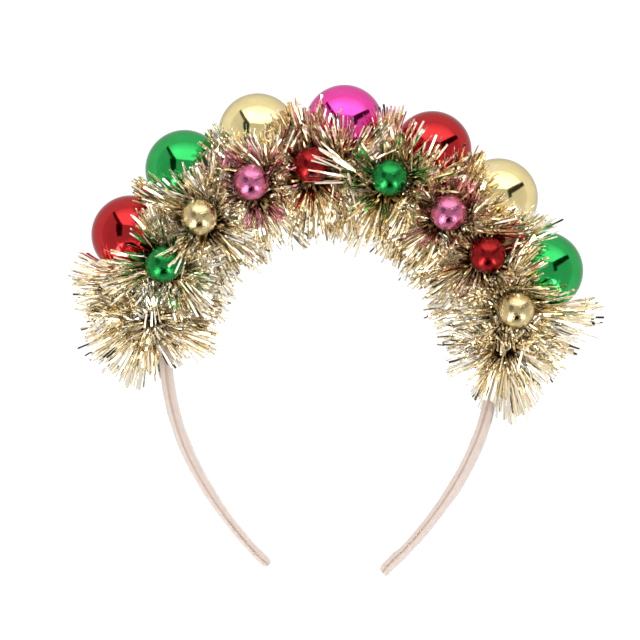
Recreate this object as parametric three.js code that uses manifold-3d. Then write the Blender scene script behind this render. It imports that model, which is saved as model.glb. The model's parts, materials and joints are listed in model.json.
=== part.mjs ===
// A christmas bauble headband: a ribbon-covered hair band whose crown is wound with a tinsel garland,
// with a row of large baubles along its outer edge and a row of small baubles on its front.
// Millimetres. The band lies on its back: +X to the right, +Y from the tips to the crown, +Z to the front.
// Angles are degrees round the centre of the arch: 0 at its right end, 90 at the crown, 180 at its left.
import * as THREE from "three";
import { mergeVertices } from "three/addons/utils/BufferGeometryUtils.js";
import Module from "manifold-3d";

const wasm = await Module();
wasm.setup();
const { clamp, degToRad, lerp, radToDeg, seededRandom } = THREE.MathUtils;

// Fits
const GAP = 0.3; // between neighbouring pieces
const MERGE_DISTANCE = 0.001; // vertices closer than this are one vertex

// Band: a half circle over the crown, then two arcs down each arm, measured along the centre-line
const ARCH_RADIUS = 62.5;
const UPPER_ARM_RADIUS = 95;
const UPPER_ARM_TURN = 28; // degrees inward from straight down, where the lower arm takes over
const LOWER_ARM_RADIUS = 150;
const LEFT_TIP_TURN = 45.5; // degrees inward at the end of each arm
const RIGHT_TIP_TURN = 48;
const BAND_WIDTH = 8; // front to back at the crown
const BAND_THICKNESS = 3.8; // plastic core and both ribbons, at the crown
const BAND_STEP = 14; // longest stretch between two sections
const EDGE_ANGLES = [-90, -45, 0, 45, 90]; // corners of a section's rounded edge

// Sections of the band: millimetres from that tip, width, thickness, inward shift and roll of the section
const BAND_SECTIONS = [
  { tip: "left", from: 0, width: 4.4, thickness: 2.4, inward: 0.2, roll: 3 },
  { tip: "left", from: 1.2, width: 6, thickness: 3.9, inward: 0.3, roll: 3 }, // folded ribbon end
  { tip: "left", from: 8.5, width: 6.2, thickness: 3.9, inward: 0.3, roll: 3 },
  { tip: "left", from: 10, width: 6.3, thickness: 3.3, inward: 0, roll: 3 },
  { tip: "left", from: 60, width: 7.4, thickness: 3.6, inward: 0, roll: 5 },
  { tip: "left", from: 95, width: 8, thickness: 3.8, inward: 0, roll: 6 },
  { tip: "left", from: 150, width: 8, thickness: 3.8, inward: 0, roll: 0 },
  { tip: "right", from: 150, width: 8, thickness: 3.8, inward: 0, roll: 0 },
  { tip: "right", from: 95, width: 8, thickness: 3.8, inward: 0, roll: -8 },
  { tip: "right", from: 60, width: 7.4, thickness: 3.6, inward: 0, roll: -8 },
  { tip: "right", from: 11, width: 6.3, thickness: 3.4, inward: 0, roll: -8 },
  { tip: "right", from: 9.5, width: 6.3, thickness: 4.1, inward: 0.35, roll: -8 },
  { tip: "right", from: 1, width: 6.1, thickness: 4.1, inward: 0.35, roll: -8 },
  { tip: "right", from: 0, width: 5, thickness: 3, inward: 0.2, roll: -8 },
];

// Baubles: radius of the smooth ball, and how its faceted solid is divided
const LARGE_RADIUS = 15;
const LARGE_FACETS = { round: 16, bands: 9, proud: 1.025 }; // proud corners keep the mean radius right
const SMALL_RADIUS = 7;
const SMALL_FACETS = { round: 12, bands: 7, proud: 1.03 };

// Large baubles on the outer edge: angle round the arch, and the ball centre's distance from the arch's
const LARGE_BAUBLES = [
  { colour: "red", angle: 150, reach: 87.7 },
  { colour: "green", angle: 128.9, reach: 88.3 },
  { colour: "gold", angle: 108.5, reach: 87.1 },
  { colour: "magenta", angle: 86.5, reach: 86 },
  { colour: "red", angle: 63, reach: 85.2 },
  { colour: "gold", angle: 42.2, reach: 86.2 },
  { colour: "green", angle: 20.4, reach: 86.5 },
];

// Small baubles on the front: the same two measures, and the centre's height in front of the band's middle
const SMALL_BAUBLES = [
  { colour: "green", angle: 152.8, reach: 71, height: 17.5 },
  { colour: "gold", angle: 134.7, reach: 70.6, height: 17 },
  { colour: "pink", angle: 115.3, reach: 70.2, height: 17 },
  { colour: "red", angle: 96, reach: 70.2, height: 16.5 },
  { colour: "green", angle: 71.2, reach: 68.8, height: 17.5 },
  { colour: "pink", angle: 49.4, reach: 68.4, height: 17 },
  { colour: "red", angle: 31.2, reach: 69.4, height: 16.5 },
  { colour: "gold", angle: 12.1, reach: 71.8, height: 17.5 },
];

// Caps: a crimped cup against the ball and a wire neck down to the band
const LARGE_CAP = { cup: 4.5, cupHeight: 3, neck: 1.5 };
const SMALL_CAP = { cup: 2.4, cupHeight: 2, neck: 0.9 };
const CAP_SIDES = 6;

// Garland: wound round the band, with one turn for each large bauble and one at each end
const GARLAND_START = 174;
const FIRST_CROSSING = 160.6; // where it first and last passes over the outer edge of the band
const LAST_CROSSING = 10;
const GARLAND_END = -1;
const TURN_GAP = 0.35; // cut off each side of a turn, at the heart's middle line
const HEART_CENTRE = 64.5; // radius of the middle line of the dense heart, which sleeves the band
const HEART_RADIUS = 9;
const HEART_SIDES = 10;
const HEART_STEPS = 3; // along one turn
const HEART_END = 0.7; // of the heart's radius, at the garland's two ends
const ROOM_FACETS = { round: 12, bands: 7 }; // of the hollows that the balls sit in

// Locks of foil: flat fans that spread from the heart to the pile's round outline
const PILE_CENTRE = 67; // radius of the pile's middle line
const LAST_PILE_CENTRE = 73; // the garland's right end springs outward
const PILE_RADIUS = 27.5;
const PILE_SHORTEST = 0.86; // of the pile's radius
const LOCKS_PER_TURN = 26;
const LOCK_TRIES = 60;
const LOCK_STEP = 137.5; // degrees round the band from one lock to the next
const LOCK_SPREAD = 35; // degrees either side of that
const LOCK_TILT = 32; // degrees either way along the band
const LOCK_TWIST = 40; // degrees either way from lying along the band
const END_LEAN = 27; // degrees that the locks of the first and last turn lean off the garland's end
const END_TILT = 52; // and their tilt either way from that
const LOCK = { root: 3, tip: 8, thickness: 1.8 }; // widths at both ends, and the thickness
const ROOT_DEPTH = 0.6; // of the heart's radius, where a lock starts
const STEER = 1.4; // how far a tip swings aside, as a share of the room that its lock lacks at a ball
const FLOOR_CLEARANCE = 0.8; // under the lowest locks, which bend along the floor
const TURN_MARGIN = 0.4; // between a lock and the side of its turn's sector
const SEED = 25;

const COLOURS = {
  red: { color: "#b0101c", roughness: 0.12, metalness: 0.85 },
  green: { color: "#0b8a45", roughness: 0.12, metalness: 0.85 },
  gold: { color: "#dcc684", roughness: 0.12, metalness: 0.9 },
  magenta: { color: "#cf1590", roughness: 0.12, metalness: 0.85 },
  pink: { color: "#c0588f", roughness: 0.12, metalness: 0.85 },
  cap: { color: "#c9b27a", roughness: 0.35, metalness: 0.9 },
  ribbon: { color: "#d8bca6", roughness: 0.55, metalness: 0 },
  foil: { color: "#c9ab6c", roughness: 0.22, metalness: 0.95 },
};

// Point at an angle and distance from the centre of the arch, at a height in front of the band's middle.
function archPoint(angle, reach, height = 0) {
  const turn = degToRad(angle);
  return new THREE.Vector3(reach * Math.cos(turn), reach * Math.sin(turn), height);
}

// Closed geometry as a solid that can be joined, cut and tested.
function solidOf(geometry) {
  const bare = new THREE.BufferGeometry();
  bare.setAttribute("position", geometry.getAttribute("position"));
  bare.setIndex(geometry.index);
  const merged = mergeVertices(bare, MERGE_DISTANCE);
  const vertProperties = new Float32Array(merged.getAttribute("position").array);
  const triVerts = new Uint32Array(merged.index.array);
  return new wasm.Manifold(new wasm.Mesh({ numProp: 3, vertProperties, triVerts }));
}

function geometryOf(solid) {
  const { vertProperties, triVerts } = solid.getMesh();
  const geometry = new THREE.BufferGeometry();
  geometry.setAttribute("position", new THREE.BufferAttribute(vertProperties, 3));
  geometry.setIndex(new THREE.BufferAttribute(triVerts, 1));
  return geometry;
}

function piece(name, geometry, colour) {
  const mesh = new THREE.Mesh(geometry, new THREE.MeshStandardMaterial(COLOURS[colour]));
  mesh.name = name;
  return mesh;
}

// Centre-line of the band from the left tip over the crown to the right tip.
function bandPath() {
  const upper = degToRad(UPPER_ARM_TURN);
  const upperCentre = UPPER_ARM_RADIUS - ARCH_RADIUS;
  const lowerX = upperCentre + (LOWER_ARM_RADIUS - UPPER_ARM_RADIUS) * Math.cos(upper);
  const lowerY = (LOWER_ARM_RADIUS - UPPER_ARM_RADIUS) * Math.sin(upper);
  const path = new THREE.Path();
  path.absarc(lowerX, lowerY, LOWER_ARM_RADIUS, Math.PI + degToRad(LEFT_TIP_TURN), Math.PI + upper, true);
  path.absarc(upperCentre, 0, UPPER_ARM_RADIUS, Math.PI + upper, Math.PI, true);
  path.absarc(0, 0, ARCH_RADIUS, Math.PI, 0, true);
  path.absarc(-upperCentre, 0, UPPER_ARM_RADIUS, 0, -upper, true);
  path.absarc(-lowerX, lowerY, LOWER_ARM_RADIUS, -upper, -degToRad(RIGHT_TIP_TURN), true);
  return path;
}

// Row of the section table at a place along the band, blended between its neighbours.
function sectionAt(rows, at) {
  const next = clamp(rows.findIndex((row) => row.at >= at), 1, rows.length - 1);
  const [before, after] = [rows[next - 1], rows[next]];
  const share = clamp((at - before.at) / (after.at - before.at), 0, 1);
  const blend = (key) => lerp(before[key], after[key], share);
  return {
    width: blend("width"),
    thickness: blend("thickness"),
    inward: blend("inward"),
    roll: blend("roll"),
  };
}

// One ring of corners round the band: two flat faces joined by rounded edges.
function bandRing(path, share, section) {
  const along = path.getTangentAt(share);
  const middle = path.getPointAt(share);
  const roll = degToRad(section.roll);
  const flatOut = new THREE.Vector3(-along.y, along.x, 0);
  const up = new THREE.Vector3(0, 0, 1);
  const out = flatOut.clone().multiplyScalar(Math.cos(roll)).addScaledVector(up, -Math.sin(roll));
  const front = up.clone().multiplyScalar(Math.cos(roll)).addScaledVector(flatOut, Math.sin(roll));
  const centre = new THREE.Vector3(middle.x, middle.y, 0).addScaledVector(out, -section.inward);
  const half = section.thickness / 2;
  const flat = section.width / 2 - half;
  const ring = [];
  for (const side of [1, -1]) {
    for (const edge of EDGE_ANGLES.map(degToRad)) {
      const corner = centre.clone().addScaledVector(front, side * (flat + half * Math.cos(edge)));
      ring.push(corner.addScaledVector(out, side * half * Math.sin(edge)));
    }
  }
  return ring;
}

// Closed skin over a row of rings with the same number of corners.
function loft(rings) {
  const sides = rings[0].length;
  const last = (rings.length - 1) * sides;
  const faces = [];
  for (let ring = 0; ring < last; ring += sides) {
    for (let side = 0; side < sides; side++) {
      const a = ring + side;
      const b = ring + ((side + 1) % sides);
      faces.push(a, a + sides, b, b, a + sides, b + sides);
    }
  }
  for (let side = 1; side + 1 < sides; side++) {
    faces.push(0, side, side + 1, last, last + side + 1, last + side);
  }
  const geometry = new THREE.BufferGeometry();
  geometry.setFromPoints(rings.flat());
  geometry.setIndex(faces);
  return geometry;
}

function bandGeometry(grow = 0) {
  const path = bandPath();
  const length = path.getLength();
  const rows = BAND_SECTIONS.map((row) => {
    return { ...row, at: row.tip === "left" ? row.from : length - row.from };
  });
  const places = [0];
  for (const row of rows.slice(1)) {
    const start = places.at(-1);
    const steps = Math.ceil((row.at - start) / BAND_STEP);
    for (let step = 1; step <= steps; step++) {
      places.push(lerp(start, row.at, step / steps));
    }
  }
  const rings = places.map((at) => {
    const section = sectionAt(rows, at);
    section.width += 2 * grow;
    section.thickness += 2 * grow;
    return bandRing(path, at / length, section);
  });
  return loft(rings);
}

// Faceted ball about +Y, with a flat facet to the front and back and one on each side.
function baubleGeometry(radius, facets) {
  const profile = [];
  for (let row = 0; row <= facets.bands; row++) {
    const latitude = Math.PI * (row / facets.bands - 0.5);
    const ends = row === 0 || row === facets.bands;
    const corner = radius * facets.proud;
    profile.push(new THREE.Vector2(ends ? 0 : corner * Math.cos(latitude), corner * Math.sin(latitude)));
  }
  return new THREE.LatheGeometry(profile, facets.round, Math.PI / facets.round);
}

// Distance from a ball's centre to the middle of the facet that it lies on.
function facetDistance(radius, facets) {
  return radius * facets.proud * Math.cos(Math.PI / facets.round) * Math.cos(Math.PI / (2 * facets.bands));
}

// Cap about +Y: the neck starts at the band and the cup ends at the ball.
function capGeometry(cap, length) {
  const profile = [
    [0, 0],
    [cap.neck, 0],
    [cap.neck, length - cap.cupHeight],
    [cap.cup, length - cap.cupHeight],
    [cap.cup, length],
    [0, length],
  ];
  return new THREE.LatheGeometry(profile.map(([x, y]) => new THREE.Vector2(x, y)), CAP_SIDES);
}

// A ball on its cap, standing on the band at a foot point.
// The group's +Y runs from the foot to the ball's centre.
function baubleSpoke(kind, number, row, centre, foot, sizes) {
  const spoke = new THREE.Group();
  const direction = centre.clone().sub(foot);
  const reach = direction.length();
  const corner = sizes.radius * sizes.facets.proud;
  const capLength = reach - corner - 2 * GAP;
  spoke.position.copy(foot);
  spoke.quaternion.setFromUnitVectors(new THREE.Vector3(0, 1, 0), direction.normalize());
  const cap = piece(`${kind}_cap_${number}`, capGeometry(sizes.cap, capLength), "cap");
  cap.position.y = GAP;
  const ball = piece(`${kind}_bauble_${number}`, baubleGeometry(sizes.radius, sizes.facets), row.colour);
  ball.position.y = reach;
  spoke.add(cap, ball);
  spoke.userData = { ...sizes, capLength, reach };
  return spoke;
}

function largeSpoke(row, index) {
  const foot = archPoint(row.angle, ARCH_RADIUS + BAND_THICKNESS / 2);
  const sizes = { radius: LARGE_RADIUS, facets: LARGE_FACETS, cap: LARGE_CAP };
  return baubleSpoke("large", index + 1, row, archPoint(row.angle, row.reach), foot, sizes);
}

function smallSpoke(row, index) {
  const foot = archPoint(row.angle, ARCH_RADIUS, BAND_WIDTH / 2);
  const sizes = { radius: SMALL_RADIUS, facets: SMALL_FACETS, cap: SMALL_CAP };
  return baubleSpoke("small", index + 1, row, archPoint(row.angle, row.reach, row.height), foot, sizes);
}

// Angles where one turn of the garland ends and the next starts: halfway between the large baubles.
function turnEnds() {
  const angles = LARGE_BAUBLES.map((row) => row.angle);
  const crossings = angles.slice(1).map((angle, index) => (angle + angles[index]) / 2);
  return [GARLAND_START, FIRST_CROSSING, ...crossings, LAST_CROSSING, GARLAND_END];
}

const TURN_ENDS = turnEnds();
const TURNS = TURN_ENDS.length - 1;

// Point of the garland: angle along the arch, degrees round its section (0 outward, 90 front),
// and its distance from a middle line of the given radius.
function pilePoint(centre, angle, round, distance) {
  const turn = degToRad(round);
  return archPoint(angle, centre + distance * Math.cos(turn), distance * Math.sin(turn));
}

// Heart of one turn: a sleeve's worth of the arch, narrowed at the garland's two ends.
function heartGeometry(turn) {
  const trim = radToDeg(TURN_GAP / HEART_CENTRE);
  const rings = [];
  for (let step = 0; step <= HEART_STEPS; step++) {
    const angle = lerp(TURN_ENDS[turn] - trim, TURN_ENDS[turn + 1] + trim, step / HEART_STEPS);
    const open = (turn === 0 && step === 0) || (turn === TURNS - 1 && step === HEART_STEPS);
    const ring = [];
    for (let side = 0; side < HEART_SIDES; side++) {
      const round = (-360 * side) / HEART_SIDES;
      ring.push(pilePoint(HEART_CENTRE, angle, round, HEART_RADIUS * (open ? HEART_END : 1)));
    }
    rings.push(ring);
  }
  return loft(rings);
}

// Lock from a root point to a tip point, widening along its length.
// Its flat side lies along the band and is turned by a twist.
function lockGeometry(root, tip, twist) {
  const along = tip.clone().sub(root);
  const length = along.length();
  along.normalize();
  const outward = new THREE.Vector3(root.x, root.y, 0).normalize();
  const tangent = new THREE.Vector3(-outward.y, outward.x, 0);
  const across = tangent.addScaledVector(along, -tangent.dot(along)).normalize();
  across.applyAxisAngle(along, twist);
  const face = across.clone().cross(along);
  const outline = [
    [-LOCK.root / 2, 0],
    [LOCK.root / 2, 0],
    [LOCK.tip / 2, length],
    [-LOCK.tip / 2, length],
  ];
  const shape = new THREE.Shape(outline.map(([x, y]) => new THREE.Vector2(x, y)));
  const geometry = new THREE.ExtrudeGeometry(shape, { depth: LOCK.thickness, bevelEnabled: false });
  geometry.translate(0, 0, -LOCK.thickness / 2);
  return geometry.applyMatrix4(new THREE.Matrix4().makeBasis(across, along, face).setPosition(root));
}

// Random number between two limits, from the seeded run.
function between(low, high) {
  return lerp(low, high, seededRandom());
}

// Tip of a lock on the pile's round outline, leaning off the garland's end in its first and last turn.
function lockTip(turn, angle, round) {
  const first = turn === 0;
  const last = turn === TURNS - 1;
  const lean = first ? END_LEAN : last ? -END_LEAN : 0;
  const spread = first || last ? END_TILT : LOCK_TILT;
  const tilt = degToRad(lean + between(-spread, spread));
  const length = PILE_RADIUS * between(PILE_SHORTEST, 1);
  return pilePoint(last ? LAST_PILE_CENTRE : PILE_CENTRE, angle, round, length * Math.cos(tilt))
    .addScaledVector(archPoint(angle + 90, 1), length * Math.sin(tilt));
}

// Swings a lock's tip aside until its middle line clears every ball.
function steer(root, tip, balls) {
  const line = new THREE.Line3(root, tip);
  const nearest = new THREE.Vector3();
  for (const ball of balls) {
    const room = ball.radius + LOCK.tip / 2 + GAP;
    line.closestPointToPoint(ball.centre, true, nearest);
    const away = nearest.clone().sub(ball.centre);
    const short = room - away.length();
    if (short > 0) tip.addScaledVector(away.normalize(), short * STEER);
  }
}

// True where every corner of the lock stays in its own turn's sector and above the floor.
function staysInTurn(geometry, turn, floor) {
  const corners = geometry.getAttribute("position");
  const corner = new THREE.Vector3();
  for (let index = 0; index < corners.count; index++) {
    corner.fromBufferAttribute(corners, index);
    const angle = radToDeg(Math.atan2(-corner.x, corner.y)) + 90; // from -90 to 270, seam at the tips
    const margin = radToDeg(TURN_MARGIN / Math.hypot(corner.x, corner.y));
    const high = turn === 0 ? Infinity : TURN_ENDS[turn] - margin;
    const low = turn === TURNS - 1 ? -Infinity : TURN_ENDS[turn + 1] + margin;
    if (angle > high || angle < low || corner.z < floor + FLOOR_CLEARANCE / 2) return false;
  }
  return true;
}

// The largest of the bodies that a solid falls into.
function mainBody(solid) {
  const bodies = solid.decompose();
  return bodies.reduce((main, body) => (body.volume() > main.volume() ? body : main));
}

// One turn of the garland: its heart, cut clear of the baubles, caps and band, with the locks fused to it.
function turnGeometry(turn, balls, keepOut, floor) {
  const twist = degToRad(LOCK_TWIST);
  let solid = mainBody(solidOf(heartGeometry(turn)).subtract(keepOut));
  let taken = keepOut;
  for (let lock = 0; lock < LOCKS_PER_TURN; lock++) {
    const angle = lerp(TURN_ENDS[turn], TURN_ENDS[turn + 1], (lock + 0.5) / LOCKS_PER_TURN);
    for (let tries = 0; tries < LOCK_TRIES; tries++) {
      const round = lock * LOCK_STEP + between(-LOCK_SPREAD, LOCK_SPREAD);
      const root = pilePoint(HEART_CENTRE, angle, round, ROOT_DEPTH * HEART_RADIUS);
      const tip = lockTip(turn, angle, round);
      steer(root, tip, balls);
      tip.z = Math.max(tip.z, floor + FLOOR_CLEARANCE + LOCK.thickness);
      const geometry = lockGeometry(root, tip, between(-twist, twist));
      if (!staysInTurn(geometry, turn, floor)) continue;
      const strip = solidOf(geometry);
      if (strip.intersect(taken).volume() > 0) continue;
      const joined = solid.add(strip);
      if (joined.decompose().length > 1) continue; // its root isn't in what is left of the heart
      solid = joined;
      taken = taken.add(strip);
      break;
    }
  }
  return geometryOf(solid);
}

// Plain room that the garland leaves free round the band, the balls and the caps.
function keepOutSolid(spokes) {
  let solid = solidOf(bandGeometry(GAP));
  for (const spoke of spokes) {
    const { radius, facets, cap, capLength, reach } = spoke.userData;
    const facet = radius * facets.proud + GAP;
    const proud = facet / facetDistance(facet, { ...ROOM_FACETS, proud: 1 });
    const ball = baubleGeometry(facet, { ...ROOM_FACETS, proud }).translate(0, reach, 0);
    const neck = capGeometry({ neck: cap.cup, cup: cap.cup + GAP, cupHeight: capLength }, capLength);
    neck.translate(0, GAP, 0);
    solid = solid.add(solidOf(ball.applyMatrix4(spoke.matrix)));
    solid = solid.add(solidOf(neck.applyMatrix4(spoke.matrix)));
  }
  return solid;
}

function buildHeadband() {
  const headband = new THREE.Group();
  headband.add(piece("headband", bandGeometry(), "ribbon"));
  const spokes = [...LARGE_BAUBLES.map(largeSpoke), ...SMALL_BAUBLES.map(smallSpoke)];
  spokes.forEach((spoke) => spoke.updateMatrix());
  headband.add(...spokes);
  const balls = spokes.map((spoke) => ({
    centre: new THREE.Vector3(0, spoke.userData.reach, 0).applyMatrix4(spoke.matrix),
    radius: spoke.userData.radius,
  }));
  const floor = -facetDistance(LARGE_RADIUS, LARGE_FACETS);
  const keepOut = keepOutSolid(spokes);
  seededRandom(SEED);
  for (let turn = 0; turn < TURNS; turn++) {
    headband.add(piece(`tinsel_turn_${turn + 1}`, turnGeometry(turn, balls, keepOut, floor), "foil"));
  }
  return headband;
}

// The large baubles lie on the floor, and the origin is under the middle of the whole headband.
const headband = buildHeadband();
const bounds = new THREE.Box3().setFromObject(headband, true); // from the vertices themselves
const middle = bounds.getCenter(new THREE.Vector3());
headband.position.set(-middle.x, -middle.y, -bounds.min.z);
const part = new THREE.Group();
part.add(headband);

export default part;
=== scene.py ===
import json
import math

import bmesh
import bpy
import numpy as np
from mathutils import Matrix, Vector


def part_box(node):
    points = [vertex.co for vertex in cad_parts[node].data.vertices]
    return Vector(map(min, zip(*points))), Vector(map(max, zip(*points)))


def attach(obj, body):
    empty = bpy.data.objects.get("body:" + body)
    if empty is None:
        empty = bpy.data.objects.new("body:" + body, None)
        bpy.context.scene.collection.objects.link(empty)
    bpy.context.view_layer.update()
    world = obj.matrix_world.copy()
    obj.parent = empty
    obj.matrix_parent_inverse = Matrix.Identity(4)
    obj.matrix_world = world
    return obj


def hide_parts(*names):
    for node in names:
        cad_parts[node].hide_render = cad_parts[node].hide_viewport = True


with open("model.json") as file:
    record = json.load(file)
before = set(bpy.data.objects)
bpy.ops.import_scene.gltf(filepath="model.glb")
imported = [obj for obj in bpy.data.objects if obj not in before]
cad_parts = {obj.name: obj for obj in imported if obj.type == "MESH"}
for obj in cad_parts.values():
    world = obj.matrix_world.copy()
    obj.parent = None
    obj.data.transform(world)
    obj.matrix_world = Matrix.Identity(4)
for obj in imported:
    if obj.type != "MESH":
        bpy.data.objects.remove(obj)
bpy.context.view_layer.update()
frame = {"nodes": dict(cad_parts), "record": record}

MM = 0.001
UP = np.array([0.0, 0.0, 1.0])
SEED = 25
SLOTS = {row["node"]: row["material_slot"] for row in frame["record"]["subparts"]}

# Band: a round crown, then an upper and a lower arc for each arm
ARCH_RADIUS = 62.5
UPPER_ARM_RADIUS = 95
UPPER_ARM_TURN = 28
LOWER_ARM_RADIUS = 150
LEFT_TIP_TURN = 45.8
RIGHT_TIP_TURN = 47.6
BAND_WIDTH = 8
BAND_STEP = 0.8
EDGE_STEPS = 28

# Sections of the band: millimetres from a tip, width, thickness, inward shift, roll
LEFT_SECTIONS = [
    (0, 4.4, 2, 0.1, 4),
    (0.5, 5.4, 3, 0.15, 4),
    (1.4, 6, 3.4, 0.15, 4),
    (6, 6.2, 3.6, 0, 4),
    (10, 6.25, 3.2, 0, 4),
    (30, 6.7, 3.6, 0, 5),
    (45, 7, 4.2, 0, 6),
    (60, 7.4, 4.2, 0, 8),
    (95, 8, 4.1, -0.1, 8),
    (150, 8, 3.8, 0, 0),
]
RIGHT_SECTIONS = [
    (0, 5, 3, 0.3, -8),
    (0.5, 5.9, 3.9, 0.45, -8),
    (2, 6.1, 4.2, 0.75, -8),
    (8.5, 6.3, 4.6, 0.75, -9),
    (11, 6.3, 4.1, 0.45, -9),
    (18, 6.5, 4.05, 0.3, -10),
    (30, 6.8, 4.1, 0.25, -12),
    (43, 7.1, 4.7, -0.05, -14),
    (60, 7.4, 4.6, -0.1, -15),
    (95, 8, 4.4, -0.15, -13),
    (150, 8, 3.8, 0, 0),
]

# Ribbon: the groove of its seam, the sewn edge beside it, and waves with their size, length and phase
SEAM_DEPTH = 0.3
SEAM_WIDTH = 0.24
SEAM_WAVES = [(0.12, 21, 0.4), (0.07, 8, 1.9)]
SEWN_LIFT = 0.12
SEWN_EDGE = 0.12
RIPPLE_WAVES = [(0.05, 3.1, 0), (0.04, 1.7, 2.2)]
THREAD_OFFSET = 10

# Painted light and shade across the ribbon: one side of the seam is painted darker than the other, as light
# falls from one side, with a painted shadow line along the seam; millimetres from the seam, colour
RIBBON_PAINTED_LIGHT = [
    (-6, (0.627, 0.533, 0.477)),
    (-4.2, (0.581, 0.483, 0.426)),
    (-2.6, (0.515, 0.382, 0.318)),
    (-0.25, (0.498, 0.365, 0.301)),
    (-0.05, (0.349, 0.235, 0.185)),
    (0.15, (0.581, 0.466, 0.4)),
    (0.8, (0.643, 0.554, 0.503)),
    (3, (0.61, 0.533, 0.477)),
]

# The painted light and shade swap sides between the arms within this length of the crown's middle
CROWN_LENGTH = 40

# The painted dark side by millimetres from a tip, and how many times narrower it is there
SHADE_NARROWS = ((55, 105), (7, 1))

# Stitches over the seam near each tip
STITCH_START = 2.5
STITCH_PITCH = 2.4
STITCH_COUNT = 9
STITCH_STEPS = 7
STITCH_SLANT = 0.35
STITCH_REACH = 0.6
STITCH_RISE = 0.2
STITCH_SINK = 0.3
STITCH_THREAD = 0.14

# Baubles: the angle and reach of the crown one, which place the arch's centre, then their sizes
CROWN_BAUBLE = (86.5, 86)
LARGE_RADIUS = 15
SMALL_RADIUS = 7
LARGE_COUNT = 7
SMALL_COUNT = 8

# Neck of a bauble: its radius and how far from the ball's centre it ends, then the bore in its end face,
# the flat share of that face and the height of its edge
LARGE_NECK = (3.2, 15.6)
SMALL_NECK = (1.7, 7.45)
NECK_BORE = 0.02
NECK_FACE = 0.9
NECK_EDGE = 0.1

# Mesh of a bauble: rows and sides, the radians left open at its pole, and a direction that no axis follows
LARGE_GRID = (48, 80)
SMALL_GRID = (32, 56)
POLE_GAP = 0.004
ASIDE = (0.3, 0.5, 0.81)

# Lacquers: deep and bright colour. Finishes: scale and depth of the dimples, weight of the clear coat
LARGE_LACQUERS = {
    "red_lacquer": ((0.37, 0.005, 0.007), (0.41, 0.007, 0.009)),
    "green_lacquer": ((0.008, 0.29, 0.052), (0.011, 0.34, 0.068)),
    "gold_lacquer": ((0.68, 0.55, 0.25), (0.75, 0.63, 0.31)),
    "magenta_lacquer": ((0.68, 0.035, 0.29), (0.74, 0.048, 0.34)),
}
LARGE_FINISH = (900, 0.008, 0.35)
SMALL_LACQUERS = {
    "red_lacquer": ((0.21, 0.004, 0.005), (0.25, 0.006, 0.007)),
    "green_lacquer": ((0.006, 0.18, 0.033), (0.009, 0.22, 0.045)),
    "gold_lacquer": ((0.5, 0.39, 0.19), (0.57, 0.46, 0.25)),
    "pink_lacquer": ((0.44, 0.11, 0.21), (0.52, 0.15, 0.27)),
}
SMALL_FINISH = (750, 0.34, 0.2)

# Foil: its tint by tone, from silver to gold, and a painted shade that darkens each strip from the tip to
# the root, standing in for the shadow deep inside the tinsel
FOIL_TINTS = [(0, (0.965, 0.95, 0.915)), (0.4, (0.955, 0.9, 0.775)), (1, (0.92, 0.8, 0.565))]
FOIL_PAINTED_SHADE = [(0.05, (0.08, 0.05, 0.03)), (0.23, (0.53, 0.45, 0.34)), (0.44, (1, 1, 1))]

# Garland: the angles where its turns end, how golden each turn is, and the middle of its heart
TURN_ENDS = [174, 160.6, 139.45, 118.7, 97.5, 74.75, 52.6, 31.3, 10, -1]
TURN_GOLD = [0.05, 0.05, -0.05, 0, 0.2, 0.2, 0.2, 0.15, 0]
HEART_CENTRE = 64.5
FLOOR = -14.85

# Strips of foil, many to a bundle, and how they scatter
BUNDLE = 12
SEGMENTS = 6
CORNERS = 4
STRIP_WIDTH = (0.55, 0.85)
STRIP_THICKNESS = 0.07
STRIP_SHARE = (0.9, 1.04)
STRIP_ROLL = 40
HEADING_SPREAD = 4.5
RISE_SPREAD = 2.5
ROOT_REACH = (1, 4)
ROOT_SPREAD = 1
TONE_SPREAD = 0.2
TWIST_SPREAD = 18
BOW_SPREAD = 0.02
CROWD_SHORTENS = 0.45

# Strips are steered round the baubles, keep off the floor, and seldom cross the face of a small bauble
STEER_ROUNDS = 12
STEER_GAP = 0.8
LARGE_SPREAD = 3.5
SMALL_SPREAD = 1.5
LEAST_ASIDE = 0.5
LEAST_REACH = 4
BALL_GAP = 0.6
FLOOR_GAP = 0.7
FACE_SHARE = 0.78
STRAY_SHARE = 0.05

# Rosette round the foot of each small bauble, in three tiers from the back to the front
FOOT_SHIFT = 3
TIER_HEIGHTS = (1, 5, 6.5)
INNER_LENGTHS = [25, 24.5, 28.5, 23.5, 23.5, 24.5, 26.5, 25.5]
INNER_SPREAD = 2.5
LOW_TIER = {"count": 12, "rises": (-14, 6), "sector": 260, "crowd": 6}
MIDDLE_TIER = {"count": 18, "lengths": (24, 28), "rises": (12, 30), "skew": 0.16, "crowd": 12}
HIGH_TIER = {"count": 9, "lengths": (18, 22), "rises": (28, 44), "crowd": 12}

# Bundles between two large baubles, by turn: angle, reach of the root, lengths, heading
NOTCHES = {
    0: (157.45, 72, (20, 25), 150),
    1: (139.45, 70, (22, 27), 139.45),
    2: (118.7, 70, (22, 27), 118.7),
    3: (98.5, 70, (20, 24), 102),
    4: (74.75, 70, (18, 22), 74.75),
    5: (52.6, 70, (20, 24), 52.6),
    6: (31.3, 70, (19, 23), 31.3),
}
NOTCH_HEIGHT = 4
NOTCH_TUFT = {"count": 3, "rises": (4, 22), "sector": 26}

# Bundles that fill the inner edge between two small baubles, by turn: angle, lengths
INNER_NOTCHES = {
    1: (156, (15, 18)),
    4: (84, (15.5, 18)),
    5: (60, (18, 20.5)),
    6: (40, (17.5, 20)),
    7: (19, (18, 21)),
}
INNER_NOTCH_REACH = 62
INNER_NOTCH_HEIGHT = 2
INNER_NOTCH_TUFT = {"count": 4, "rises": (-10, 10), "sector": 36}

# Bundles in front of each large bauble
APRON_REACH = 67
APRON_HEIGHT = 7
APRON_TUFT = {"count": 6, "lengths": (22, 26), "rises": (12, 22), "sector": 70}

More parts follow.
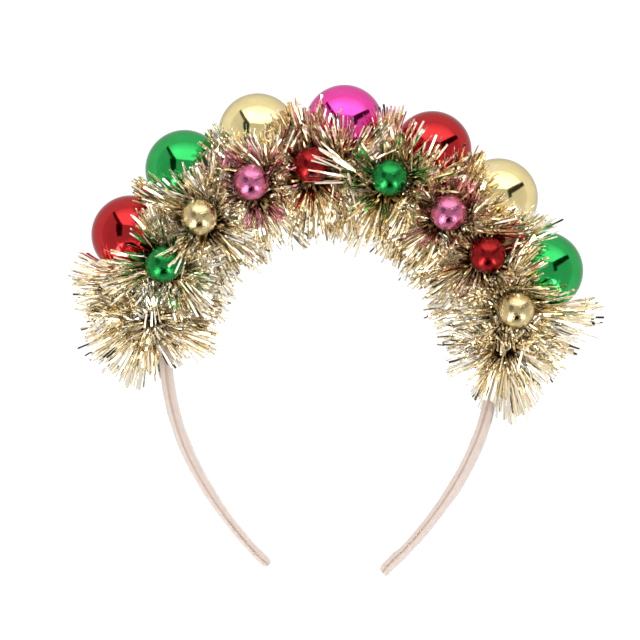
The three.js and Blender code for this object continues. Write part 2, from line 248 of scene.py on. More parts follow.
# Fans that lie over a small bauble: turn, strips, angle, reach, height, lengths, rises, heading, sector
FANS = [
    (5, 11, 78.4, 66.4, 13, (22, 25), (32, 38), 165, 46),
    (2, 9, 140.3, 66.8, 15, (17.5, 20), (38, 44), 230, 54),
]
FAN_LIE = {"strips": 1, "roll": 20, "over": True}

# Bundles at the two ends of the garland
# Columns: turn, bundles, angle, reach, height, lengths, rises, heading, sector, skew
LOOSE_BUNDLES = [
    (0, 22, 170.5, 70, 1, (18, 22), (-14, 10), 175, 360, 0.2),
    (0, 20, 170.5, 70, 4, (16, 20), (8, 32), 175, 360, 0.2),
    (0, 16, 170.5, 69, 6, (9, 13), (20, 55), 165, 360, 0),
    (0, 16, 170.5, 69, 8, (5, 9), (10, 60), 165, 360, 0),
    (0, 6, 170.5, 70, 2, (22, 26), (-8, 14), 232, 66, 0),
    (0, 4, 170.5, 70, 3, (20, 24), (-4, 14), 344, 30, 0),
    (0, 12, 162, 76, 3, (20, 25), (-6, 24), 188, 92, 0),
    (0, 8, 163, 68, 4, (16, 21), (0, 30), 20, 90, 0),
    (8, 18, 1, 66, 1, (19, 23), (-14, 12), 285, 360, 0.05),
    (8, 16, 1, 66, 4, (17, 21), (8, 34), 285, 360, 0.05),
    (8, 12, 1, 66, 7, (9, 14), (20, 60), 285, 360, 0),
    (8, 3, 1, 66, 2, (24, 27), (-8, 10), 278, 30, 0),
    (8, 6, 9, 74, 3, (24, 28), (-4, 14), 10, 28, 0),
    (8, 8, 6, 73, 2, (16, 20), (-10, 16), 318, 70, 0),
]

# Single strips round the heart of a turn: strips, distance, lengths, tilt, angles round the heart
SLEEVES = [
    (90, 4.5, (15, 21), 32, (150, 390)),
    (40, 3.5, (5, 9), 50, (0, 360)),
]

# Floor: half its side, and its drop below the lowest bauble
FLOOR_HALF = 4000
FLOOR_DROP = 0.2

# Light tent: bright screens fade to the light of the walls towards the floor, and dark cards hang nearer
TENT_RADIUS = 2600
WALL_LIGHT = 1
TENT_WALLS = [(0, 1), (0.12, 0.98), (0.4, 0.88), (1, 0.82)]
SCREEN_FADE = 1000
DARK_CARD = 0.1
DARK_CARD_SHARE = 0.96

# Cards of the light tent, placed as they show in a mirror ball seen from the front: outline, brightness
CARDS = {
    "screen_above": (
        [
            (-0.2, 0.25), (0, 0.235), (0.22, 0.215), (0.45, 0.3), (0.62, 0.4),
            (0.52, 0.55), (0.3, 0.7), (0.03, 0.76), (-0.22, 0.72), (-0.43, 0.6),
        ],
        2.8,
    ),
    "screen_middle": ([(-0.2, -0.15), (0.25, -0.15), (0.22, 0.215), (0, 0.235), (-0.2, 0.25)], 0.78),
    "gap_left": ([(-0.47, 0.6), (-0.43, 0.61), (-0.19, 0.23), (-0.32, 0.27)], 0.03),
    "gap_left_low": ([(-0.36, 0.28), (-0.2, 0.25), (-0.21, -0.02), (-0.33, -0.05)], 0.03),
    "gap_right": ([(0.66, 0.41), (0.68, 0.35), (0.32, 0.1), (0.21, 0.21)], 0.03),
    "gap_right_low": ([(0.21, 0.2), (0.33, 0.12), (0.33, 0.0), (0.25, -0.02)], 0.03),
    "sill": ([(-0.15, -0.13), (0.15, -0.13), (0.15, -0.18), (-0.15, -0.18)], 2.2),
    "doorway": (
        [
            (-0.14, -0.2), (0.01, -0.18), (0.15, -0.21), (0.17, -0.36), (0.36, -0.55),
            (0.14, -0.48), (0.06, -0.65), (-0.06, -0.5), (-0.3, -0.61), (-0.19, -0.38),
        ],
        0.01,
    ),
    "lamp_left": ([(-0.19, -0.21), (-0.29, -0.24), (-0.47, -0.53), (-0.32, -0.59)], 12),
    "lamp_right": ([(0.2, -0.21), (0.29, -0.24), (0.48, -0.5), (0.37, -0.53)], 12),
}

# Photograph: the pixel of the arch's centre, the size of a pixel and the pixels along a side
ARCH_PIXEL = (330.5, 350)
PIXEL = 0.38
IMAGE = 640

# Camera: its distance, the width of its sensor and how far it sees, then how often light bounces on foil
CAMERA_DISTANCE = 2400
CAMERA_SENSOR = 36
CAMERA_SIGHT = 50000
FOIL_BOUNCES = 5

# Sockets of a Mix node for colours
MIX_SHARE, MIX_FIRST, MIX_SECOND, MIX_RESULT = 0, 6, 7, 2

random = np.random.default_rng(SEED)


# Places
def polar(angle, reach, height=0.0):
    turn = np.radians(angle)
    return np.stack(np.broadcast_arrays(reach * np.cos(turn), reach * np.sin(turn), height), axis=-1)


def angle_of(place):
    return math.degrees(math.atan2(place[1], place[0]))


def unit(vectors):
    return vectors / np.linalg.norm(vectors, axis=-1, keepdims=True)


def level(vector):
    return vector * (1, 1, 0)


def box_centre(node):
    low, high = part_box(node)
    return np.array((low + high) / 2) / MM


ARCH_CENTRE = box_centre("large_bauble_4") - polar(*CROWN_BAUBLE)
LARGE_CENTRES = [box_centre(f"large_bauble_{i + 1}") - ARCH_CENTRE for i in range(LARGE_COUNT)]
SMALL_CENTRES = [box_centre(f"small_bauble_{i + 1}") - ARCH_CENTRE for i in range(SMALL_COUNT)]
LARGE_BALLS = [(centre, LARGE_RADIUS, LARGE_SPREAD) for centre in LARGE_CENTRES]
SMALL_BALLS = [(centre, SMALL_RADIUS, SMALL_SPREAD) for centre in SMALL_CENTRES]
BALLS = LARGE_BALLS + SMALL_BALLS


# Making meshes
def mesh_object(name, points, faces, material, origin=(0, 0, 0)):
    mesh = bpy.data.meshes.new(name)
    mesh.from_pydata(((points - origin) * MM).tolist(), [], faces.tolist())
    mesh.update(calc_edges=True)
    mesh.shade_smooth()
    mesh.materials.append(material)
    piece = bpy.data.objects.new(name, mesh)
    piece.location = (np.array(origin) + ARCH_CENTRE) * MM
    bpy.context.scene.collection.objects.link(piece)
    return piece


def stand_for(piece, *nodes):
    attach(piece, "root")
    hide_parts(*nodes)


def point_values(mesh, name, values):
    mesh.attributes.new(name, "FLOAT", "POINT").data.foreach_set("value", values.astype(np.float32).ravel())


def sharpen(mesh, sharp):
    attribute = mesh.attributes.get("sharp_edge") or mesh.attributes.new("sharp_edge", "BOOLEAN", "EDGE")
    attribute.data.foreach_set("value", sharp)


def close_ends(mesh, index):
    shape = bmesh.new()
    shape.from_mesh(mesh)
    shape.verts.ensure_lookup_table()
    for ring in (index[0], index[-1][::-1]):
        face = shape.faces.new([shape.verts[i] for i in ring])
        face.smooth = True
    shape.to_mesh(mesh)
    shape.free()


def square_tubes(points, wide, thick):
    corners = np.stack([wide + thick, thick - wide, -wide - thick, wide - thick], axis=2)
    vertices = (points[:, :, None] + corners).reshape(-1, 3)
    index = np.arange(len(vertices)).reshape(*points.shape[:2], CORNERS)
    ahead = np.roll(index, -1, axis=2)
    sides = np.stack([index[:, :-1], ahead[:, :-1], ahead[:, 1:], index[:, 1:]], axis=-1).reshape(-1, 4)
    ends = np.concatenate([index[:, 0, ::-1], index[:, -1]])
    return vertices, np.concatenate([sides, ends])


# Making materials
def new_material(name, **sockets):
    material = bpy.data.materials.new(name)
    material.use_nodes = True
    tree = material.node_tree
    shader = tree.nodes["Principled BSDF"]
    set_sockets(shader, sockets)
    return material, tree, shader


def set_sockets(node, sockets):
    for name, value in sockets.items():
        node.inputs[name].default_value = value


def add_node(tree, kind, **settings):
    node = tree.nodes.new(kind)
    for key, value in settings.items():
        if key in node.inputs:
            node.inputs[key].default_value = value
        else:
            setattr(node, key, value)
    return node


def texture(tree, kind, coords, **settings):
    node = add_node(tree, kind, **settings)
    tree.links.new(coords, node.inputs["Vector"])
    return node.outputs["Fac"]


def map_range(tree, source, **limits):
    node = add_node(tree, "ShaderNodeMapRange", **limits)
    tree.links.new(source, node.inputs["Value"])
    return node.outputs["Result"]


def colour_ramp(tree, source, stops):
    node = tree.nodes.new("ShaderNodeValToRGB")
    ramp = node.color_ramp
    while len(ramp.elements) < len(stops):
        ramp.elements.new(1)
    for element, (place, colour) in zip(ramp.elements, stops):
        element.position = place
        element.color = (*colour, 1)
    tree.links.new(source, node.inputs["Fac"])
    return node.outputs["Color"]


def multiply(tree, first, second):
    node = add_node(tree, "ShaderNodeMix", data_type="RGBA", blend_type="MULTIPLY")
    node.inputs[MIX_SHARE].default_value = 1
    tree.links.new(first, node.inputs[MIX_FIRST])
    tree.links.new(second, node.inputs[MIX_SECOND])
    return node.outputs[MIX_RESULT]


def bump(tree, source, strength, depth):
    node = add_node(tree, "ShaderNodeBump", Strength=strength, Distance=depth * MM)
    tree.links.new(source, node.inputs["Height"])
    return node.outputs["Normal"]


def roughness(tree, source, low, high, top=1):
    return map_range(tree, source, **{"From Max": top, "To Min": low, "To Max": high})


def object_coords(tree):
    return add_node(tree, "ShaderNodeTexCoord").outputs["Object"]


def attribute_value(tree, name):
    return add_node(tree, "ShaderNodeAttribute", attribute_name=name).outputs["Fac"]


def link_shader(tree, shader, **sources):
    for name, source in sources.items():
        tree.links.new(source, shader.inputs[name.replace("_", " ")])


# Materials
def lacquer_material(name, colours, dimple_scale, dimple_depth, coat):
    sockets = {
        "Metallic": 1,
        "Specular Tint": (0.5, 0.5, 0.5, 1),
        "Coat Weight": coat,
        "Coat Roughness": 0.03,
        "Coat IOR": 1.5,
    }
    material, tree, shader = new_material(name, **sockets)
    deep, bright = colours
    coords = object_coords(tree)
    cloud = texture(tree, "ShaderNodeTexNoise", coords, Scale=160, Detail=3)
    peel = texture(tree, "ShaderNodeTexNoise", coords, Scale=dimple_scale, Detail=5, Roughness=0.6)
    link_shader(
        tree,
        shader,
        Base_Color=colour_ramp(tree, cloud, [(0.35, deep), (0.65, bright)]),
        Roughness=roughness(tree, cloud, low=0.07, high=0.15),
        Normal=bump(tree, peel, strength=0.6, depth=dimple_depth),
    )
    return material


def foil_material():
    material, tree, shader = new_material("foil", Metallic=1)
    tint = colour_ramp(tree, attribute_value(tree, "tone"), FOIL_TINTS)
    # Painted shade: the strip's colour darkens towards its root by the share along it
    shade = colour_ramp(tree, attribute_value(tree, "reach"), FOIL_PAINTED_SHADE)
    crease = texture(tree, "ShaderNodeTexNoise", object_coords(tree), Scale=700, Detail=2)
    link_shader(
        tree,
        shader,
        Base_Color=multiply(tree, tint, shade),
        Roughness=roughness(tree, crease, low=0.05, high=0.16),
        Normal=bump(tree, crease, strength=0.05, depth=0.4),
    )
    return material


def ribbon_material():
    sockets = {"Sheen Weight": 0.35, "Sheen Roughness": 0.4, "Specular IOR Level": 0.35}
    material, tree, shader = new_material("ribbon", **sockets)
    # The ribbon's colour carries painted light and shade: lighter on one side of the seam, darker on the
    # other, with a painted shadow line on the seam
    first, last = RIBBON_PAINTED_LIGHT[0][0], RIBBON_PAINTED_LIGHT[-1][0]
    stops = [((place - first) / (last - first), colour) for place, colour in RIBBON_PAINTED_LIGHT]
    light_side = map_range(tree, attribute_value(tree, "light_side"), **{"From Min": first, "From Max": last})
    thread = add_node(tree, "ShaderNodeUVMap", uv_map="thread").outputs["UV"]
    cloud = texture(tree, "ShaderNodeTexNoise", thread, Scale=0.35, Detail=4)
    worn = colour_ramp(tree, cloud, [(0.3, (0.94, 0.91, 0.89)), (0.7, (1, 1, 1))])
    wave = "ShaderNodeTexWave"
    weft = texture(tree, wave, thread, bands_direction="X", Scale=0.7, Distortion=0.6, Detail=1)
    warp = texture(tree, wave, thread, bands_direction="Y", Scale=0.9, Distortion=0.4, Detail=1)
    weave = add_node(tree, "ShaderNodeMath", operation="ADD")
    tree.links.new(weft, weave.inputs[0])
    tree.links.new(warp, weave.inputs[1])
    threads = weave.outputs["Value"]
    link_shader(
        tree,
        shader,
        Base_Color=multiply(tree, colour_ramp(tree, light_side, stops), worn),
        Roughness=roughness(tree, threads, low=0.62, high=0.4, top=2),
        Normal=bump(tree, threads, strength=0.2, depth=0.06),
    )
    return material


def grained_material(slot, deep, bright, scale, rough, metallic):
    material, tree, shader = new_material(slot, Metallic=metallic)
    grain = texture(tree, "ShaderNodeTexNoise", object_coords(tree), Scale=scale, Detail=4)
    link_shader(
        tree,
        shader,
        Base_Color=colour_ramp(tree, grain, [(0.3, deep), (0.7, bright)]),
        Roughness=roughness(tree, grain, *rough),
    )
    return material


POLISHED = {slot: lacquer_material(slot, tints, *LARGE_FINISH) for slot, tints in LARGE_LACQUERS.items()}
DIMPLED = {
    slot: lacquer_material(f"{slot}_dimpled", tints, *SMALL_FINISH) for slot, tints in SMALL_LACQUERS.items()
}
FOIL = foil_material()
RIBBON = ribbon_material()
CAP_METAL = grained_material(
    "cap_metal",
    deep=(0.5, 0.36, 0.16),
    bright=(0.72, 0.58, 0.32),
    scale=500,
    rough=(0.22, 0.45),
    metallic=1,
)
STITCH = grained_material(
    "stitch",
    deep=(0.56, 0.4, 0.32),
    bright=(0.78, 0.64, 0.55),
    scale=900,
    rough=(0.5, 0.75),
    metallic=0,
)


# Band in its ribbon
def band_path():
    upper = math.radians(UPPER_ARM_TURN)
    upper_x = UPPER_ARM_RADIUS - ARCH_RADIUS
    lower_x = upper_x + (LOWER_ARM_RADIUS - UPPER_ARM_RADIUS) * math.cos(upper)
    lower_y = (LOWER_ARM_RADIUS - UPPER_ARM_RADIUS) * math.sin(upper)
    arcs = [
        (lower_x, lower_y, LOWER_ARM_RADIUS, 180 + LEFT_TIP_TURN, 180 + UPPER_ARM_TURN),
        (upper_x, 0, UPPER_ARM_RADIUS, 180 + UPPER_ARM_TURN, 180),
        (0, 0, ARCH_RADIUS, 180, 0),
        (-upper_x, 0, UPPER_ARM_RADIUS, 0, -UPPER_ARM_TURN),
        (-lower_x, lower_y, LOWER_ARM_RADIUS, -UPPER_ARM_TURN, -RIGHT_TIP_TURN),
    ]
    places, tangents, along = [], [], []
    start = 0.0
    for x, y, radius, first, last in arcs:
        length = radius * math.radians(first - last)
        steps = math.ceil(length / BAND_STEP)
        share = np.linspace(0, 1, steps, endpoint=False)
        angle = first + (last - first) * share
        places.append(polar(angle, radius) + (x, y, 0))
        tangents.append(polar(angle - 90, 1.0))
        along.append(start + length * share)
        start += length
    places.append(places[-1][-1:] + tangents[-1][-1:] * (start - along[-1][-1]))
    tangents.append(tangents[-1][-1:])
    along.append(np.array([start]))
    return np.concatenate(places), np.concatenate(tangents), np.concatenate(along)


def band_sections(along):
    length = along[-1]
    left, right = np.array(LEFT_SECTIONS, float), np.array(RIGHT_SECTIONS, float)[::-1]
    places = np.concatenate([left[:, 0], length - right[:, 0]])
    table = np.concatenate([left[:, 1:], right[:, 1:]])
    return [np.interp(along, places, column)[:, None] for column in table.T]


def wander(along, waves):
    return sum(size * np.sin(along / length + phase) for size, length, phase in waves)[:, None]


def band_frame():
    places, tangents, along = band_path()
    width, thickness, inward, roll = band_sections(along)
    roll = np.radians(roll)
    flat_out = np.stack([-tangents[:, 1], tangents[:, 0], np.zeros(len(along))], axis=-1)
    out = flat_out * np.cos(roll) - UP * np.sin(roll)
    front = UP * np.cos(roll) + flat_out * np.sin(roll)
    seam = wander(along, SEAM_WAVES)
    return along, places - out * inward, out, front, width / 2 - thickness / 2, thickness / 2, seam


def build_band(band):
    along, centre, out, front, flat, half, seam = band
    from_tip = np.minimum(along, along[-1] - along)
    edge = np.radians(np.linspace(-90, 90, EDGE_STEPS + 1))
    arc = half * edge[None, :]
    groove = SEAM_DEPTH * np.exp(-(((arc - seam) / SEAM_WIDTH) ** 2))
    lift = SEWN_LIFT * (1 + np.tanh((arc - seam) / SEWN_EDGE)) / 2
    ripple = wander(along, RIPPLE_WAVES) * np.cos(edge * 2)[None, :]
    radius = half + lift - groove + ripple
    # Painted light and shade across the ribbon: the offset from the seam, turned over at the crown so that
    # the painted dark side swaps arms, and narrowed near the tips
    arm = np.clip((along[-1] / 2 - along) / CROWN_LENGTH, -1, 1)[:, None]
    narrow = np.interp(from_tip, *SHADE_NARROWS)[:, None]
    rings, around, light_side = [], [], []
    for side in (1, -1):
        across = (side * (flat + radius * np.cos(edge)[None, :]))[..., None]
        outward = (side * radius * np.sin(edge)[None, :])[..., None]
        rings.append(centre[:, None, :] + front[:, None, :] * across + out[:, None, :] * outward)
        around.append(side * THREAD_OFFSET + arc)
        shade_offset = arm * (side * arc - seam)
        light_side.append(np.where(shade_offset < 0, shade_offset * narrow, shade_offset))
    points = np.concatenate(rings, axis=1)
    count, sides = points.shape[:2]
    index = np.arange(count * sides).reshape(count, sides)
    ahead = np.roll(index, -1, axis=1)
    quads = np.stack([index[:-1], index[1:], ahead[1:], ahead[:-1]], axis=-1).reshape(-1, 4)
    piece = mesh_object("ribbon_band", points.reshape(-1, 3), quads, RIBBON)
    mesh = piece.data
    close_ends(mesh, index)
    thread = np.stack([np.repeat(from_tip, sides), np.concatenate(around, axis=1).ravel()], axis=-1)
    corners = np.empty(len(mesh.loops), np.int32)
    mesh.loops.foreach_get("vertex_index", corners)
    layer = mesh.uv_layers.new(name="thread")
    layer.data.foreach_set("uv", thread[corners].astype(np.float32).ravel())
    point_values(mesh, "light_side", np.concatenate(light_side, axis=1))
    stand_for(piece, "headband")


def build_stitches(band):
    along = band[0]
    first = STITCH_START + STITCH_PITCH * np.arange(STITCH_COUNT)
    share = np.linspace(-1, 1, STITCH_STEPS)[:, None]
    places = np.concatenate([first, along[-1] - first])[:, None] + STITCH_SLANT * share.T
    columns = [[np.interp(places, along, column) for column in values.T] for values in band[1:]]
    centre, out, front, flat, half, seam = (np.stack(column, axis=-1) for column in columns)
    angle = (seam + STITCH_REACH * share) / half
    over = np.cos(angle) * front + np.sin(angle) * out
    lines = centre + front * flat + over * (half + STITCH_RISE - STITCH_SINK * share**2)
    tangent = unit(np.gradient(lines, axis=1))
    side = unit(np.cross(tangent, over)) * STITCH_THREAD
    vertices, quads = square_tubes(lines, side, np.cross(tangent, side))
    piece = mesh_object("ribbon_stitches", vertices, quads, STITCH)
    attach(piece, "root")


# Baubles and their caps
def lathe(axis, profile, sides):
    side = unit(np.cross(axis, ASIDE))
    other = np.cross(axis, side)
    turn = np.linspace(0, 2 * math.pi, sides, endpoint=False)
    ring = np.cos(turn)[:, None] * side + np.sin(turn)[:, None] * other
    points = profile[:, 0, None, None] * ring[None] + profile[:, 1, None, None] * axis[None, None]
    index = np.arange(len(profile) * sides).reshape(len(profile), sides)
    ahead = np.roll(index, -1, axis=1)
    quads = np.stack([index[:-1], ahead[:-1], ahead[1:], index[1:]], axis=-1).reshape(-1, 4)
    return points.reshape(-1, 3), quads


def bauble_profile(radius, neck, rows):
    neck_radius, neck_end = neck
    start = math.asin(neck_radius / radius)
    slope = np.linspace(start, math.pi - POLE_GAP, rows)
    ball = np.stack([radius * np.sin(slope), -radius * np.cos(slope)], axis=-1)
    collar = [
        (NECK_BORE, -neck_end),
        (neck_radius * NECK_FACE, -neck_end),
        (neck_radius, -neck_end + NECK_EDGE),
    ]
    return np.concatenate([np.array(collar), ball])


def build_bauble(node, centre, axis, radius, neck, grid, lacquers):
    rows, sides = grid
    points, quads = lathe(axis, bauble_profile(radius, neck, rows), sides)
    name = f"{node}_lacquered"
    piece = mesh_object(name, points + centre, quads, lacquers[SLOTS[node]], origin=centre)
    stand_for(piece, node)


def build_baubles():
    for i, centre in enumerate(LARGE_CENTRES):
        axis = unit(level(centre))
        build_bauble(f"large_bauble_{i + 1}", centre, axis, LARGE_RADIUS, LARGE_NECK, LARGE_GRID, POLISHED)
    for i, centre in enumerate(SMALL_CENTRES):
        axis = unit(centre - polar(angle_of(centre), ARCH_RADIUS, BAND_WIDTH / 2))
        build_bauble(f"small_bauble_{i + 1}", centre, axis, SMALL_RADIUS, SMALL_NECK, SMALL_GRID, DIMPLED)


def finish_caps():
    for node, slot in SLOTS.items():
        if slot == "cap_metal":
            materials = frame["nodes"][node].data.materials
            materials.clear()
            materials.append(CAP_METAL)


# Tinsel: a tuft holds, strip by strip, the root, the direction, the length, the way its width lies, a tone,
# and whether it may lie over a small bauble
def bundles(
    count,
    centre,
    lengths,
    rises,
    heading=0,
    sector=360,
    skew=0,
    crowd=0,
    strips=BUNDLE,
    roll=STRIP_ROLL,
    over=False,
):
    headings = heading + sector * ((np.arange(count) + random.uniform(0, 1, count)) / count - 0.5)
    along = (polar(headings, 1.0) @ unit(np.cross(UP, centre))) ** 2
    rise = random.uniform(*rises, count) + crowd * along
    length = random.uniform(*lengths, count) * (1 + skew * np.cos(np.radians(headings - heading)))
    if crowd:
        length = length * (1 - CROWD_SHORTENS * along)
    total = count * strips
    headings = np.repeat(headings, strips) + random.normal(0, HEADING_SPREAD * strips / BUNDLE, total)
    rise = np.radians(np.repeat(rise, strips) + random.normal(0, RISE_SPREAD, total))[:, None]
    flat, side = polar(headings, 1.0), polar(headings + 90, 1.0)
    directions = np.cos(rise) * flat + np.sin(rise) * UP
    roots = centre + flat * random.uniform(*ROOT_REACH, (total, 1))
    roots = roots + side * random.normal(0, ROOT_SPREAD, (total, 1))
    roots = roots + UP * random.normal(0, ROOT_SPREAD, (total, 1))
    lean = np.radians(random.normal(0, roll, total))[:, None]
    wide = np.cos(lean) * side + np.sin(lean) * np.cross(directions, side)
    tone = np.repeat(random.uniform(0, 1, count), strips) + random.normal(0, TONE_SPREAD, total)
    length = np.repeat(length, strips) * random.uniform(*STRIP_SHARE, total)
    return roots, directions, length, wide, tone, np.full(total, over)


def sleeve(first, last, count, distance, lengths, tilt, arounds):
    angle = random.uniform(last, first, count)
    around = np.radians(random.uniform(*arounds, count))[:, None]
    lean = np.radians(random.uniform(-tilt, tilt, count))[:, None]
    out = np.cos(around) * polar(angle, 1.0) + np.sin(around) * UP
    roots = polar(angle, HEART_CENTRE) + out * distance
    directions = np.cos(lean) * out + np.sin(lean) * polar(angle + 90, 1.0)
    wide = np.cross(directions, random.normal(0, 1, (count, 3)))
    length, tone = random.uniform(*lengths, count), random.uniform(0, 1, count)
    return roots, directions, length, wide, tone, np.full(count, False)


def rosette(number):
    centre = SMALL_CENTRES[number - 1]
    foot = level(centre - unit(level(centre)) * FOOT_SHIFT)
    low, middle, high = (foot + UP * height for height in TIER_HEIGHTS)
    outward = angle_of(centre)
    inner = INNER_LENGTHS[number - 1]
    inner_lengths = (inner - INNER_SPREAD, inner + INNER_SPREAD)
    return [
        bundles(centre=low, lengths=inner_lengths, heading=outward + 180, **LOW_TIER),
        bundles(centre=middle, heading=outward, **MIDDLE_TIER),
        bundles(centre=high, **HIGH_TIER),
    ]


def turn_tufts(number):
    tufts = rosette(number) if number else []
    if number in NOTCHES:
        angle, reach, lengths, heading = NOTCHES[number]
        root = polar(angle, reach, NOTCH_HEIGHT)
        tufts.append(bundles(centre=root, lengths=lengths, heading=heading, **NOTCH_TUFT))
    if number in INNER_NOTCHES:
        angle, lengths = INNER_NOTCHES[number]
        root = polar(angle, INNER_NOTCH_REACH, INNER_NOTCH_HEIGHT)
        tufts.append(bundles(centre=root, lengths=lengths, heading=angle + 180, **INNER_NOTCH_TUFT))
    if 0 < number <= LARGE_COUNT:
        angle = angle_of(LARGE_CENTRES[number - 1])
        root = polar(angle, APRON_REACH, APRON_HEIGHT)
        tufts.append(bundles(centre=root, heading=angle, **APRON_TUFT))
    for turn, count, angle, reach, height, lengths, rises, heading, sector in FANS:
        if turn == number:
            root = polar(angle, reach, height)
            tufts.append(bundles(count, root, lengths, rises, heading, sector, **FAN_LIE))
    for turn, count, angle, reach, height, lengths, rises, heading, sector, skew in LOOSE_BUNDLES:
        if turn == number:
            root = polar(angle, reach, height)
            tufts.append(bundles(count, root, lengths, rises, heading, sector, skew))
    for row in SLEEVES:
        tufts.append(sleeve(TURN_ENDS[number], TURN_ENDS[number + 1], *row))
    return [np.concatenate(part) for part in zip(*tufts)]


def steer(roots, directions, lengths):
    slack = random.uniform(0, 1, len(roots))
    for _ in range(STEER_ROUNDS):
        for centre, radius, spread in BALLS:
            offset = centre - roots
            reach = np.clip((offset * directions).sum(-1), 0, lengths)
            aside = directions * reach[:, None] - offset
            distance = np.linalg.norm(aside, axis=-1)
            short = np.clip(radius + STEER_GAP + spread * slack - distance, 0, None)
            push = short / np.maximum(distance, LEAST_ASIDE) / np.maximum(reach, LEAST_REACH)
            directions = unit(directions + aside * push[:, None])
        lowest = (FLOOR + STEER_GAP - roots[:, 2]) / lengths
        directions[:, 2] = np.maximum(directions[:, 2], lowest)
        directions = unit(directions)
    return directions


def bow(roots, directions, lengths):
    share = np.linspace(0, 1, SEGMENTS + 1)
    side = unit(np.cross(directions, random.normal(0, 1, directions.shape)))
    swing = side * random.normal(0, BOW_SPREAD, len(roots))[:, None] * lengths[:, None]
    points = roots[:, None] + directions[:, None] * (lengths[:, None] * share)[..., None]
    points = points + swing[:, None] * (share**2)[:, None]
    for centre, radius, _ in BALLS:
        offset = points - centre
        distance = np.linalg.norm(offset, axis=-1)
        points = points + offset * (np.clip(radius + BALL_GAP - distance, 0, None) / distance)[..., None]
    points[..., 2] = np.maximum(points[..., 2], FLOOR + FLOOR_GAP)
    return points


def clear_of_small(points):
    hiding = np.zeros(len(points), bool)
    for centre in SMALL_CENTRES:
        aside = np.linalg.norm(points[..., :2] - centre[:2], axis=-1)
        hiding |= ((aside < SMALL_RADIUS * FACE_SHARE) & (points[..., 2] > centre[2])).any(axis=1)
    return ~hiding | (random.uniform(0, 1, len(points)) < STRAY_SHARE)


def strip_mesh(points, wide):
    count, rings = points.shape[:2]
    tangent = unit(np.gradient(points, axis=1))
    twist = np.radians(random.normal(0, TWIST_SPREAD, count))[:, None] * np.linspace(0, 1, rings)
    across = unit(wide[:, None] - tangent * (wide[:, None] * tangent).sum(-1, keepdims=True))
    face = np.cross(tangent, across)
    wide = np.cos(twist)[..., None] * across + np.sin(twist)[..., None] * face
    thick = np.cross(tangent, wide)
    wide = wide * random.uniform(*STRIP_WIDTH, count)[:, None, None] / 2
    thick = thick * STRIP_THICKNESS / 2
    return square_tubes(points, wide, thick)


def sharpen_strips(mesh):
    ends = np.empty(len(mesh.edges) * 2, np.int32)
    mesh.edges.foreach_get("vertices", ends)
    first, last = ends[0::2], ends[1::2]
    lengthwise = np.abs(first - last) == CORNERS
    ring = (np.minimum(first, last) // CORNERS) % (SEGMENTS + 1)
    sharpen(mesh, lengthwise | (ring == 0) | (ring == SEGMENTS))


def build_turn(number):
    roots, directions, lengths, wide, tone, over = turn_tufts(number)
    directions = steer(roots, directions, lengths)
    points = bow(roots, directions, lengths)
    kept = clear_of_small(points) | over
    vertices, quads = strip_mesh(points[kept], wide[kept])
    piece = mesh_object(f"tinsel_{number + 1}", vertices, quads, FOIL)
    sharpen_strips(piece.data)
    tone = np.clip(tone[kept] + TURN_GOLD[number], 0, 1)
    # Share along each strip, from the root to the tip, which drives the foil's painted shade
    reach = np.repeat(np.linspace(0, 1, SEGMENTS + 1), CORNERS)
    point_values(piece.data, "tone", np.repeat(tone, len(reach)))
    point_values(piece.data, "reach", np.tile(reach, len(tone)))
    stand_for(piece, f"tinsel_turn_{number + 1}")


# Stage
def build_floor():
    sockets = {"Roughness": 0.9, "Emission Color": (1, 1, 1, 1), "Emission Strength": 1}
    material, tree, shader = new_material("floor", **sockets)
    material.cycles.emission_sampling = "NONE"
    grain = add_node(tree, "ShaderNodeTexNoise", Scale=30).outputs["Fac"]
    link_shader(tree, shader, Base_Color=colour_ramp(tree, grain, [(0, (0.08,) * 3), (1, (0.1,) * 3)]))
    signs = np.array([(-1, -1), (1, -1), (1, 1), (-1, 1)], float)
    points = np.concatenate([signs * FLOOR_HALF, np.full((len(signs), 1), FLOOR - FLOOR_DROP)], axis=1)
    floor = mesh_object("floor", points, np.arange(len(signs))[None], material)


def card_material(name, brightness):
    sockets = {"Base Color": (0, 0, 0, 1), "Specular IOR Level": 0, "Emission Color": (1, 1, 1, 1)}
    material, tree, shader = new_material(name, **sockets)
    if brightness > WALL_LIGHT:
        place = add_node(tree, "ShaderNodeNewGeometry")
        axes = add_node(tree, "ShaderNodeSeparateXYZ")
        tree.links.new(place.outputs["Position"], axes.inputs["Vector"])
        limits = {"From Max": SCREEN_FADE * MM, "To Min": WALL_LIGHT, "To Max": brightness}
        link_shader(tree, shader, Emission_Strength=map_range(tree, axes.outputs["Z"], **limits))
    else:
        set_sockets(shader, {"Emission Strength": brightness})
    return material


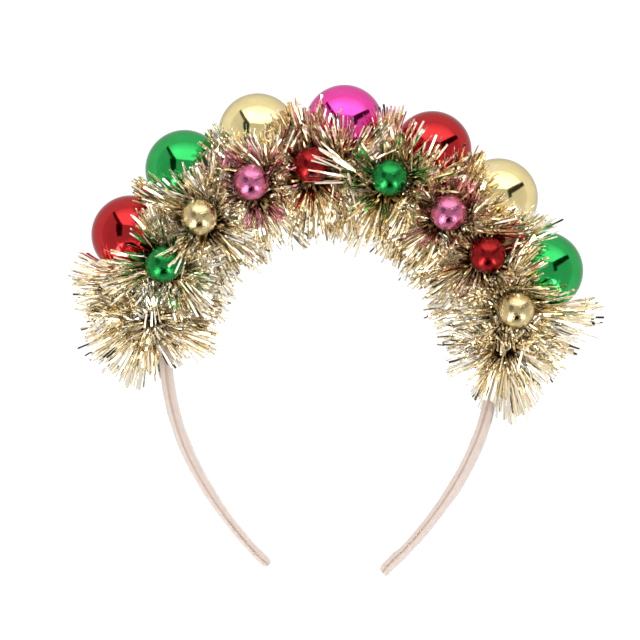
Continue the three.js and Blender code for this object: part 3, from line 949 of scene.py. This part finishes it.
def build_cards():
    for name, (outline, brightness) in CARDS.items():
        flat = np.array(outline, float)
        facing = np.sqrt(1 - (flat**2).sum(axis=1, keepdims=True))
        normal = np.concatenate([flat, facing], axis=1)
        towards = 2 * facing * normal - UP
        distance = TENT_RADIUS * (1 if brightness > DARK_CARD else DARK_CARD_SHARE)
        corners = np.arange(len(flat))[None]
        card = mesh_object(name, towards * distance, corners, card_material(name, brightness))
        card.visible_camera = False


def build_world():
    world = bpy.data.worlds.new("studio")
    bpy.context.scene.world = world
    world.use_nodes = True
    tree = world.node_tree
    coords = add_node(tree, "ShaderNodeTexCoord")
    axes = add_node(tree, "ShaderNodeSeparateXYZ")
    tree.links.new(coords.outputs["Generated"], axes.inputs["Vector"])
    walls = colour_ramp(tree, axes.outputs["Z"], [(height, (value,) * 3) for height, value in TENT_WALLS])
    rays = add_node(tree, "ShaderNodeLightPath")
    seen = add_node(tree, "ShaderNodeMix", data_type="RGBA")
    seen.inputs[MIX_SECOND].default_value = (1, 1, 1, 1)
    tree.links.new(rays.outputs["Is Camera Ray"], seen.inputs[MIX_SHARE])
    tree.links.new(walls, seen.inputs[MIX_FIRST])
    tree.links.new(seen.outputs[MIX_RESULT], tree.nodes["Background"].inputs["Color"])


def build_camera():
    camera = bpy.data.cameras.new("camera")
    camera.sensor_width = CAMERA_SENSOR
    camera.lens = CAMERA_SENSOR * CAMERA_DISTANCE / (IMAGE * PIXEL)
    camera.clip_end = CAMERA_SIGHT * MM
    holder = bpy.data.objects.new("camera", camera)
    aside = (IMAGE / 2 - ARCH_PIXEL[0]) * PIXEL
    ahead = (ARCH_PIXEL[1] - IMAGE / 2) * PIXEL
    holder.location = (ARCH_CENTRE + (aside, ahead, CAMERA_DISTANCE)) * MM
    bpy.context.scene.collection.objects.link(holder)
    bpy.context.scene.camera = holder
    bpy.context.scene.view_settings.view_transform = "Standard"
    bpy.context.scene.cycles.glossy_bounces = FOIL_BOUNCES


band = band_frame()
build_band(band)
build_stitches(band)
build_baubles()
finish_caps()
for number in range(len(TURN_ENDS) - 1):
    build_turn(number)
build_floor()
build_cards()
build_world()
build_camera()
